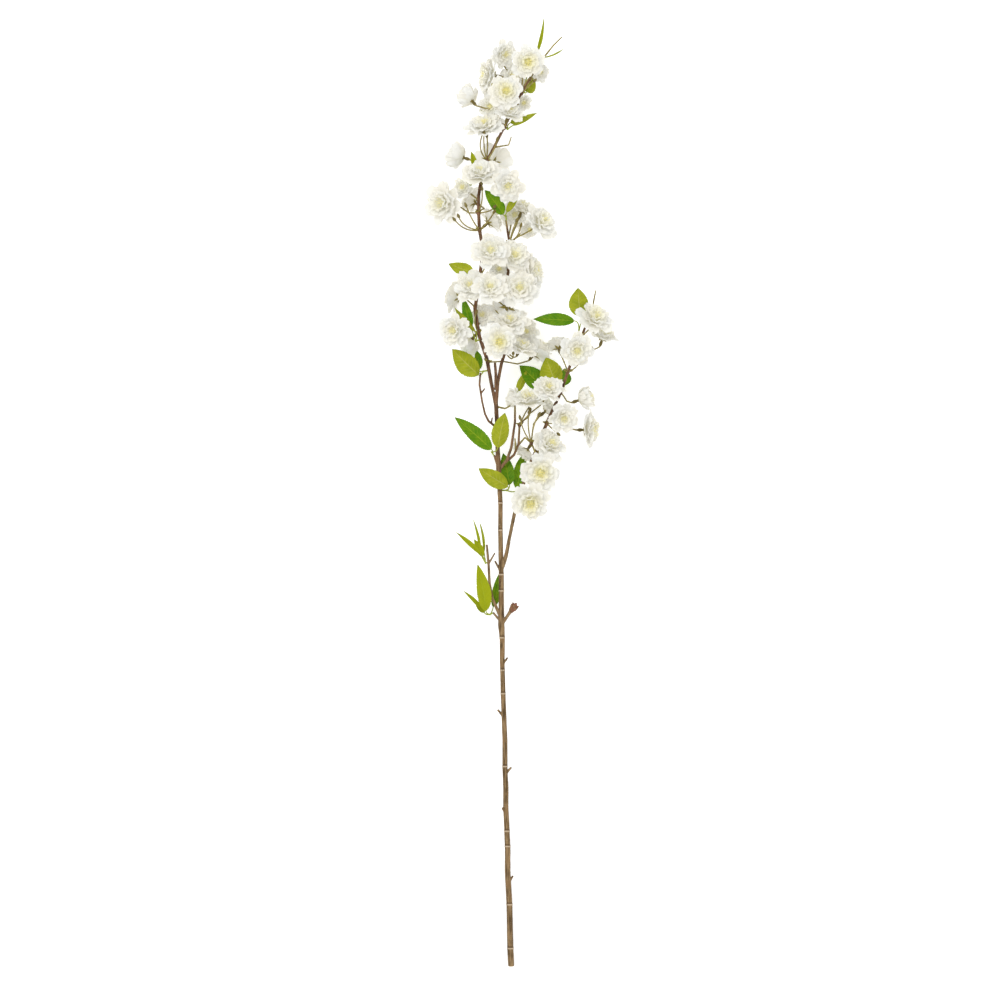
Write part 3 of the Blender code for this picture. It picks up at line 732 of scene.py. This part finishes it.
# %% Leaf tables
LEAVES = {
    "leaves_low": ((-16.5, 392, 27), [
        ((-21, 396, 31), (-30, 447, 34), 17, 20), ((-13, 400, 17), (-6, 438, 14), 12, 20),
        ((-22, 393, 28), (-46, 418, 24), 6, 40), ((-23, 394, 26), (-33, 407, 25), 9, 20)]),
    "leaves_tuft": ((-21.5, 449, 30), [
        ((-26, 458, 33), (-54, 483, 36), 6, 20), ((-27, 461, 30), (-35, 497, 34), 4, 35),
        ((-23, 461, 28), (-28, 494, 26), 4, 40), ((-24, 456, 31), (-34, 475, 33), 9, 15)]),
    "leaves_pair": ((-14.5, 571, 37), [
        ((-15, 574, 44), (-55, 609, 48), 18, 10), ((-8, 576, 45), (0, 614, 52), 20, 190)]),
    "leaves_trio": ((2, 529, 33), [
        ((3, 533, 40), (-29, 553, 44), 19, 185), ((5, 535, 30), (-2, 570, 24), 16, 10),
        ((13, 531, 24), (20, 569, 12), 17, 15)]),
    "leaves_left": ((-24, 660, 35), [
        ((-29, 656, 38), (-58, 684, 46), 24, 190), ((-29, 662, 30), (-31, 684, 20), 10, 20)]),
    "leaves_fold": ((-32, 693, 44), [
        ((-33, 704, 48), (-55, 729, 54), 10, 215), ((-37, 708, 44), (-46, 741, 44), 11, 350)]),
    "leaves_tip": ((-31, 768, 43), [((-35, 768, 46), (-62, 778, 40), 16, 185)]),
    "leaves_bright": ((81, 703, 41), [
        ((76, 715, 46), (31, 717, 44), 15, 10), ((83, 720, 44), (80, 751, 50), 23, 190)]),
    "leaves_centre": ((58, 643, 35), [
        ((57, 645, 32), (45, 675, 40), 26, 185), ((44, 641, 20), (16, 667, 22), 23, 10),
        ((66, 645, 28), (66, 664, 18), 14, 20), ((14, 638, 27), (24, 661, 25), 9, 190)]),
    "leaves_top": ((1, 830, 41.5), [
        ((-2, 832, 46), (-22, 858, 50), 17, 20), ((2, 834, 48), (14, 851, 60), 8, 200)]),
    "leaves_fork": ((-30, 874, 42), [
        ((-33, 882, 46), (-37, 901, 46), 7, 20), ((-39, 866, 40), (-44, 885, 38), 7, 200)]),
    "leaves_bend": ((3, 926, 42), [
        ((9, 930, 43), (35, 943, 48), 7, 200), ((6, 934, 34), (18, 942, 28), 8, 30),
        ((-4, 934, 33), (-28, 949, 28), 4, 100)]),
    "leaves_end": ((21, 967, 39), [
        ((24, 968, 34), (33, 984, 28), 15, 190), ((34, 1008, 32), (43, 1050, 36), 5, 40),
        ((42, 1006, 33), (65, 1015, 38), 5, 120)]),
}
YOUNG = {"leaves_low", "leaves_tuft", "leaves_end", "leaves_fork", "leaves_bend"}
GREEN_BLADES = {("leaves_low", 1)}  # full-grown blades on young sprays
print("blades:", sum(len(blades) for root, blades in LEAVES.values()))


# %% One blade and its stalk
TEETH = 24
LEAF_ROWS, LEAF_COLUMNS = TEETH * 4 + 1, 13
BLADE_SPREAD = 1.14  # a blade is drawn a little wider than its node


def grow_blade(form, dice, base, tip, width, roll, young):
    length = np.linalg.norm(tip - base)
    along = (tip - base) / length
    side = np.cross(along, [0.0, 0.0, 1.0])
    side /= np.linalg.norm(side)
    side = np.array(Matrix.Rotation(math.radians(roll), 3, Vector(along))) @ side
    up = np.cross(side, along)
    v, u = sheet_grid(LEAF_ROWS, LEAF_COLUMNS)
    wide = np.abs(u)
    outline = 2.25 * v ** 0.62 * (1 - v) ** 0.95
    teeth = 1 + 0.13 * (1 - (v * TEETH) % 1) * wide ** 3
    half = np.maximum(0.25 * MM, width / 2 * BLADE_SPREAD * outline * teeth)
    lift = (0.26 + dice.uniform(-0.05, 0.08)) * wide * half
    lift += np.sin(v * math.pi) * length * 0.05
    puckers = np.sin((v * SIDE_VEINS - wide * VEIN_SLANT) * math.tau)
    lift += 0.012 * width * puckers * np.sin(wide * math.pi)
    lift += 0.04 * width * np.sin(v * dice.uniform(5, 9) + dice.uniform(0, 6)) * u * wide
    points = (base + (u * half)[..., None] * side + (v * length)[..., None] * along
              + lift[..., None] * up)
    form.sheet(points, 0.3 * MM, reach=v, across=u, shade=dice.uniform(0.0, 0.6), young=young)


def grow_petiole(form, root, base, tip):
    along = (tip - base) / np.linalg.norm(tip - base)
    bend = base - along * np.linalg.norm(base - root) * 0.45
    path = bend_through(root, bend, base, np.linspace(0, 1, 14)[:, None])
    path = np.concatenate([path, [base + along * 3 * MM]])
    form.tube(path, np.append(np.linspace(0.75, 0.55, 14), 0.3) * MM, 8, stalk=1.0)


print(f"a blade has {TEETH} teeth a side and {LEAF_ROWS} rows of {LEAF_COLUMNS} points")


# %% Growing the leaves
for number, (name, (root, blades)) in enumerate(LEAVES.items()):
    dice = np.random.default_rng(SEEDS["leaves"] + number)
    leaf = Form("reach", "across", "upper", "stalk", "shade", "young")
    ball = np.linspace(-1, 1, 7)  # a small knob at the root
    leaf.tube(spot(root) + ball[:, None] * np.array([0, 1.2 * MM, 0]),
              np.sqrt(1.02 - ball ** 2) * 1.2 * MM, 8, stalk=1.0)
    peg = np.linspace(on_bark(spot(root)), spot(root), 6)
    leaf.tube(peg, np.full(6, 0.9 * MM), 8, stalk=1.0)
    for k, (base, tip, width, roll) in enumerate(blades):
        young = float(name in YOUNG and (name, k) not in GREEN_BLADES)
        grow_petiole(leaf, spot(root), spot(base), spot(tip))
        grow_blade(leaf, dice, spot(base), spot(tip), width * MM, roll, young)
    leaf.build(f"{name}_blades", "leaf", name)
print("leaf sprays:", len(LEAVES))


# %% [markdown]
# ## Wood
#
# The stem's node is right in its course but coarse. A voxel remesh makes its skin fine and even
# and melts the joints together, the way living wood flows round a fork, and a little smoothing
# rounds it. Both shave the thin stalks, so the skin is then pushed out again by a share of a
# millimetre, and long shallow ridges are pressed into the thick wood. Last, each point learns what
# it is: a ray cast inwards says how thick the wood is there, which tells stalk from stem.

# %% Fine skin
VOXEL = 0.5 * MM
SWELL = 0.27 * MM  # puts back what the remesh and the smoothing shave off
RIDGE = 0.16 * MM
THICKEST = 9 * MM  # a ray looks no deeper than this


def fine_skin(node):
    holder = add_object("wood", NODES[node].data.copy())
    holder.modifiers.new("weld", "WELD").merge_threshold = 0.01 * MM
    fine = holder.modifiers.new("fine", "REMESH")
    fine.mode, fine.voxel_size = "VOXEL", VOXEL
    smooth = holder.modifiers.new("round", "SMOOTH")
    smooth.factor, smooth.iterations = 0.5, 5
    graph = bpy.context.evaluated_depsgraph_get()
    mesh = bpy.data.meshes.new_from_object(holder.evaluated_get(graph))
    bpy.data.objects.remove(holder, do_unlink=True)
    return mesh


def arrays(mesh):
    """A mesh's points and the directions that its skin faces."""
    points, normals = np.empty((2, len(mesh.vertices) * 3), np.float32)
    mesh.vertices.foreach_get("co", points)
    mesh.vertices.foreach_get("normal", normals)
    return points.reshape(-1, 3).astype(float), normals.reshape(-1, 3).astype(float)


def girths(mesh, points, normals):
    """How thick the wood is under each point."""
    tree = BVHTree.FromPolygons(points.tolist(), [face.vertices for face in mesh.polygons])
    girth = np.full(len(points), THICKEST)
    for k, (start, inward) in enumerate(zip(points - normals * 0.05 * MM, -normals)):
        hit = tree.ray_cast(start, inward, THICKEST)
        if hit[3] is not None:
            girth[k] = hit[3]
    return girth


print(f"the skin's voxels are {VOXEL / MM} mm wide")


# %% What each point of the wood is
RINGS = np.array([20, 69, 134, 151, 223, 304, 330, 366, 418, 436, 485, 515]) * MM
SCAR_RISE = 1.7 * MM  # how far above its ring a scar lies
STOUT = 3.4 * MM  # only wood thicker than this has rings
FIRST_STALKS = 0.55  # metres from the cut, below which thin wood is no flower stalk
TWIG_TOP, TWIG_SIDE = 0.665, spot((-8, 0, 0))[0]  # the bare twig lies below one, left of the other
BUD = spot((10.5, 401, 24.5))


def carry_masks(mesh, points, normals, girth, thick):
    """Stores the masks that the bark's paint reads."""
    height = points[:, 1] - ORIGIN[1]
    seats = np.array([seat[0] for seat in SEATS.values()])
    to_seat = np.linalg.norm(points[:, None] - seats, axis=2).min(axis=1)
    near_seat = np.clip((9.0 * MM - to_seat) / (2.0 * MM), 0, 1)
    thin = np.clip((1.9 * MM - girth) / (0.35 * MM), 0, 1) * (height > FIRST_STALKS)
    thin *= ~((height < TWIG_TOP) & (points[:, 0] < TWIG_SIDE))
    to_ring = np.abs(height[:, None] - RINGS).min(axis=1)
    to_scar = np.abs(height[:, None] - RINGS - SCAR_RISE).min(axis=1)
    carry(mesh, "stalk", np.maximum(thin, near_seat))
    carry(mesh, "hip", near_seat * np.clip((girth - 1.7 * MM) / MM, 0, 1) * 0.8)
    carry(mesh, "joint", np.exp(-(to_ring / (0.6 * MM)) ** 2) * (girth > STOUT))
    carry(mesh, "scar", np.exp(-(to_scar / (1.1 * MM)) ** 2) * (girth > STOUT))
    carry(mesh, "height", np.clip((height - 0.48) / 0.12, 0.15, 1))
    # painted shade: how far a point faces down, stronger on the thick wood
    carry(mesh, "painted_shade_below", np.clip(0.65 - normals[:, 2], 0, 1) * (0.4 + 0.6 * thick))
    carry(mesh, "bud", np.clip(2 - np.linalg.norm(points - BUD, axis=1) / (4 * MM), 0, 1))
    carry(mesh, "cut", np.clip((0.5 * MM - height) / (0.3 * MM), 0, 1))


print(len(RINGS), "rings, the highest", RINGS.max(), "m from the cut")


# %% Growing the wood
def grow_wood(node):
    mesh = fine_skin(node)
    points, normals = arrays(mesh)
    girth = girths(mesh, points, normals)
    ridges = np.array([noise.noise(Vector((p[0] * 420, p[1] * 45, p[2] * 420))) for p in points])
    thick = np.clip((girth - 2.0 * MM) / (1.5 * MM), 0, 1)
    points += normals * (SWELL + RIDGE * ridges * thick)[:, None]
    above_table(points, 0.1 * MM)
    points[:, 1] = np.maximum(points[:, 1], CAD_BOX[0][1])
    mesh.vertices.foreach_set("co", points.astype(np.float32).ravel())
    carry_masks(mesh, points, normals, girth, thick)
    mesh.shade_smooth()
    print(f"{node}: {len(mesh.polygons)} faces, up to {girth.max() / MM:.1f} mm thick")
    return tie(f"{node}_bark", mesh, "bark", node)


grow_wood("main_stem")
grow_wood("right_branch")


# %% [markdown]
# ## Flowers in the gaps
#
# A bunch of cherry blossom is filled from behind: small flowers show only between those in front.
# They are too many for the frame, so they have no node of their own. They grow by the same
# functions as the others, and each has a bent stalk that starts on the bark near its knot.

# %% Flowers in the gaps
HIDDEN_FLOWERS = {  # knot's place, seat's place, facing, radius
    "hidden_1": ((-30, 708, 39), (-24, 722, 24), (-0.15, 0.1, 1.0), 12.5),
    "hidden_2": ((-28, 848, 39), (-45, 862, 24), (-0.3, 0.2, 1.0), 11),
    "hidden_3": ((4, 806, 38), (9, 833, 14), (0.2, 0.1, 1.0), 14),
    "hidden_4": ((5, 801, 38), (25, 818, 20), (0.3, -0.2, 1.0), 10),
    "hidden_5": ((2, 684, 38), (22, 702, 20), (0.2, 0.3, 1.0), 14),
    "hidden_6": ((3, 756, 40), (-7, 771, 34), (0.1, 0.2, 1.0), 11),
    "hidden_7": ((1, 928, 40), (-15, 953, 26), (-0.2, -0.1, 1.0), 12),
    "hidden_8": ((10, 950, 42), (19, 958, 22), (0.3, -0.2, 1.0), 9),
    "hidden_9": ((18, 966, 40), (9, 985, 27), (0.1, 0.1, 1.0), 14),
    "hidden_10": ((16, 962, 40), (-14, 977, 20), (-0.2, 0.1, 1.0), 12),
    "hidden_11": ((20, 969, 40), (36, 990, 28), (0.4, 0.0, 1.0), 11),
}
STALK_STEPS = np.linspace(0, 1, 16)[:, None]


def grow_hidden_flowers():
    stalks = Form("stalk", "hip")
    for number, (name, (knot, seat, facing, radius)) in enumerate(HIDDEN_FLOWERS.items()):
        axis = np.array(facing) / np.linalg.norm(facing)
        knot, seat = on_bark(spot(knot)), spot(seat)
        place = (name, 100 + number, seat, axis, radius * MM, 0.92 * radius * MM)
        grow_petals(*place)
        grow_stamens(*place)
        grow_calyx(*place)
        path = bend_through(knot, seat - axis * 6 * MM, seat, STALK_STEPS)
        above_table(path, 1.2 * MM)
        stalks.tube(path, np.linspace(0.8, 1.3, len(path)) * MM, 8, stalk=1.0)
    return stalks.build("hidden_stalks", "bark", "main_stem")


grow_hidden_flowers()
print("flowers in the gaps:", len(HIDDEN_FLOWERS))


# %% [markdown]
# ## Fork and winter bud
#
# Low on the stem the right branch leaves in a gentle swelling, and a fat winter bud sits on a
# stub. Both could be part of the wood's mesh, but as tubes of changing girth they are easier to
# shape. The swelling bridges the two wooden nodes. The bud is a spindle, wrapped in overlapping
# scales that wind round it by the golden angle.

# %% Fork and winter bud
FORK = [(-3.8, 440, 25.7), (-2.6, 445, 26.5), (-0.9, 450, 27.3), (1.2, 457, 28.2), (4.4, 472, 29.5)]
FORK_GIRTH = [1.6, 2.3, 2.4, 2.2, 1.8]  # a radius in mm at each of those places
BUD_FOOT, BUD_WAY = spot((4.5, 392.8, 23.1)), np.array([0.59, 0.78, 0.17])
BUD_LENGTH, BUD_SCALES = 13, 26  # mm, and how many


def grow_fork():
    """The swelling that joins the right branch to the stem."""
    form = Form("height")
    ends = np.array([spot(place) for place in FORK])
    steps = np.linspace(0, len(FORK) - 1, 24)
    path = np.stack([np.interp(steps, range(len(FORK)), ends[:, k]) for k in range(3)], -1)
    form.tube(path, np.interp(steps, range(len(FORK)), FORK_GIRTH) * MM, 16, height=0.15)
    return form.build("fork_collar", "bark", "right_branch")


def bud_girth(share):
    """The bud's radius in mm, at a share of its length."""
    return 1.6 + 2.2 * np.sin(math.pi * share ** 1.6)


def grow_bud():
    dice = np.random.default_rng(SEEDS["bud"])
    form = Form("bud")
    way = BUD_WAY / np.linalg.norm(BUD_WAY)
    steps = np.linspace(0, 1, 12)
    core = BUD_FOOT + (steps * BUD_LENGTH * MM)[:, None] * way
    form.tube(core, bud_girth(steps) * MM, 14, bud=1.0)
    for k in range(BUD_SCALES):
        out, across = around(way, k * GOLDEN_TURN)
        v, u = sheet_grid(6, 5)
        start = 2.0 + 9.0 * k / BUD_SCALES
        half = 1.7 * np.sin(math.pi * (0.2 + 0.75 * v))
        rise = bud_girth(start / BUD_LENGTH) - 0.3 * u ** 2 + 0.9 * v * dice.uniform(0.5, 1.6)
        points = (BUD_FOOT + ((start + 3.2 * v) * MM)[..., None] * way
                  + (u * half * MM)[..., None] * across + (rise * MM)[..., None] * out)
        form.sheet(points, 0.35 * MM, bud=dice.uniform(0.1, 1.0))
    return form.build("winter_bud", "bark", "main_stem")


grow_fork()
grow_bud()
print(f"a bud {BUD_LENGTH} mm long with {BUD_SCALES} scales")


# %% [markdown]
# ## Spare stalks
#
# Cherry flowers grow in bunches from one winter bud, and some never open. So bare stalks stand
# among the flowers, each with a small closed bud on its end. A stalk is a tube along a bend from
# its knot to its end, and the bud is a short spindle that goes on in the same direction.

# %% Spare stalks
SPARE_STALKS = [  # knot's place, bend's place, end's place
    ((18, 966, 42), (20, 974, 50), (27, 981, 54)), ((18, 966, 42), (24, 970, 50), (31, 976, 56)),
    ((-20, 892, 42), (-31, 902, 50), (-25, 918, 53)),
    ((-20, 892, 42), (-24, 905, 52), (-23, 917, 58)),
    ((-20, 892, 42), (-12, 900, 50), (-9, 911, 54)),
    ((-29, 834, 41), (-24, 846, 50), (-25, 857, 54)),
    ((-29, 834, 41), (-17, 834, 48), (-13, 838, 52)),
    ((-28, 815, 41), (-44, 812, 48), (-54, 824, 52)),
    ((-28, 815, 41), (-45, 816, 50), (-50, 827, 56)),
    ((-28, 815, 41), (-36, 824, 50), (-42, 839, 54)),
    ((-28, 815, 41), (-19, 822, 49), (-13, 832, 52)),
    ((5, 801, 40), (14, 805, 48), (17, 817, 52)), ((5, 801, 40), (7, 812, 47), (12, 823, 50)),
    ((0, 681, 40), (9, 668, 48), (9, 677, 56)), ((-29, 702, 39), (-35, 712, 44), (-32, 722, 44)),
    ((29, 581, 44), (20, 592, 52), (17, 606, 52)), ((29, 581, 44), (24, 598, 54), (26, 612, 50)),
    ((29, 581, 44), (30, 600, 56), (36, 610, 54)), ((46, 603, 37), (52, 596, 42), (57, 592, 46)),
    ((84, 697, 38), (90, 692, 44), (92, 686, 48)), ((69, 659, 38), (78, 662, 44), (84, 672, 46)),
]


def grow_spare_stalks():
    form = Form("stalk", "hip")
    for knot, bend, end in SPARE_STALKS:
        knot, bend, end = spot(knot), spot(bend), spot(end)
        path = bend_through(knot, bend, end, STALK_STEPS)
        form.tube(path, np.linspace(0.85, 0.7, len(path)) * MM, 8, stalk=1.0)
        heading = (end - bend) / np.linalg.norm(end - bend)
        steps = np.linspace(0, 1, 9)
        bud = end + (steps * 5.5 * MM)[:, None] * heading
        form.tube(bud, (0.7 + 1.0 * np.sin(math.pi * steps ** 0.8)) * MM, 10,
                  stalk=1.0, hip=0.6)
    return form.build("spare_stalks", "bark", "main_stem")


grow_spare_stalks()
print("spare stalks:", len(SPARE_STALKS))


# %% [markdown]
# ## Bud scales
#
# Each knot keeps the brown scales of the bud that its flowers came from. They are pointed flakes,
# thrown round the knot with a lean towards the stem's tip. One flower has lost its petals, and
# only its star of sepals is left on a short stalk.

# %% Bud scales
KNOTS = [
    (18, 966, 42), (-1, 928, 42), (-20, 892, 42), (-26, 872, 42), (-29, 834, 41), (-28, 815, 41),
    (-28, 763, 40), (-29, 702, 39), (-19, 670, 38), (5, 801, 40), (3, 728, 40), (0, 681, 40),
    (16, 601, 40), (29, 581, 44), (36, 577, 36), (46, 603, 37), (61, 637, 38), (69, 659, 38),
    (84, 697, 38),
]
SCALES_TO_A_KNOT = 7
STAR = (3, 730, 52)


def grow_scales():
    dice = np.random.default_rng(SEEDS["scales"])
    form = Form("reach")
    for knot in KNOTS:
        for k in range(SCALES_TO_A_KNOT):
            lean, turn = dice.uniform(0.2, 1.0), k * GOLDEN_TURN + dice.uniform(-0.4, 0.4)
            way = np.array([math.cos(turn), lean, 0.35 + math.sin(turn)])
            way /= np.linalg.norm(way)
            out, across = around(way, dice.uniform(0, math.tau))
            v, u = sheet_grid(7, 5)
            length = dice.uniform(3.0, 5.5) * MM
            half = 1.1 * MM * np.sin(math.pi * (0.15 + 0.83 * v) ** 0.8)
            curl = 0.8 * MM - 0.5 * half * u ** 2 + 0.9 * MM * v ** 2
            points = (spot(knot) + (1.2 * MM + v * length)[..., None] * way
                      + (u * half)[..., None] * across + curl[..., None] * out)
            form.sheet(points, 0.3 * MM, reach=v)
    form.tube(np.linspace(on_bark(spot(STAR)), spot(STAR), 8), np.full(8, 1.1 * MM), 8)
    sepals(form, dice, spot(STAR), np.array([0.1, -0.2, 0.97]), 8.5 * MM, 0.15, 1.5 * MM)
    return form.build("bud_scales", "calyx", "main_stem")


grow_scales()
print("knots with scales:", len(KNOTS))


# %% [markdown]
# ## Studio
#
# A plain white table, soft light from all round with two broad lamps overhead, and a long lens
# looking straight down, so that the sprig shows with almost no perspective.

# %% Table and lights
def table_top():
    paint = Paint("table", roughness=0.9, specular=0.1)
    grain = paint.noise(8, 2)
    paint.set("Base Color", paint.mix(grain, (0.90, 0.90, 0.90), (0.92, 0.92, 0.92)))
    paint.glow((1.0, 1.0, 1.0), 0.42)
    bm = bmesh.new()
    bmesh.ops.create_grid(bm, x_segments=2, y_segments=2, size=6.0)
    mesh = bpy.data.meshes.new("table_top")
    bm.to_mesh(mesh)
    bm.free()
    mesh.materials.append(paint.material)
    add_object("table_top", mesh)


def soft_light(name, offset, size, power):
    """A round lamp, aimed at the middle of the sprig."""
    lamp = bpy.data.lights.new(name, "AREA")
    lamp.shape, lamp.size, lamp.energy = "DISK", size, power
    light = add_object(name, lamp)
    light.location = offset
    light.rotation_euler = (-Vector(offset)).to_track_quat("-Z", "Y").to_euler()


table_top()
soft_light("key", (-0.9, 0.9, 2.4), 1.2, 24)
soft_light("fill", (1.6, -0.9, 2.0), 2.0, 8)
world = bpy.data.worlds.new("studio")
world.use_nodes = True
world.node_tree.nodes["Background"].inputs["Color"].default_value = (1.0, 1.0, 1.0, 1.0)
world.node_tree.nodes["Background"].inputs["Strength"].default_value = 0.86
bpy.context.scene.world = world

# %% Camera
VIEW_HEIGHT = 1.10  # what the picture spans at the flowers
FLOWER_HEIGHT = 0.04
CAMERA_HEIGHT = 3.4
SENSOR = 36.0
camera = add_object("camera", bpy.data.cameras.new("camera"))
camera.data.sensor_width = SENSOR
camera.data.lens = SENSOR * (CAMERA_HEIGHT - FLOWER_HEIGHT) / VIEW_HEIGHT
camera.location = (-0.0235, -0.0066, CAMERA_HEIGHT)
bpy.context.scene.camera = camera
bpy.context.scene.view_settings.view_transform = "Standard"
print(f"lens {camera.data.lens:.0f} mm")
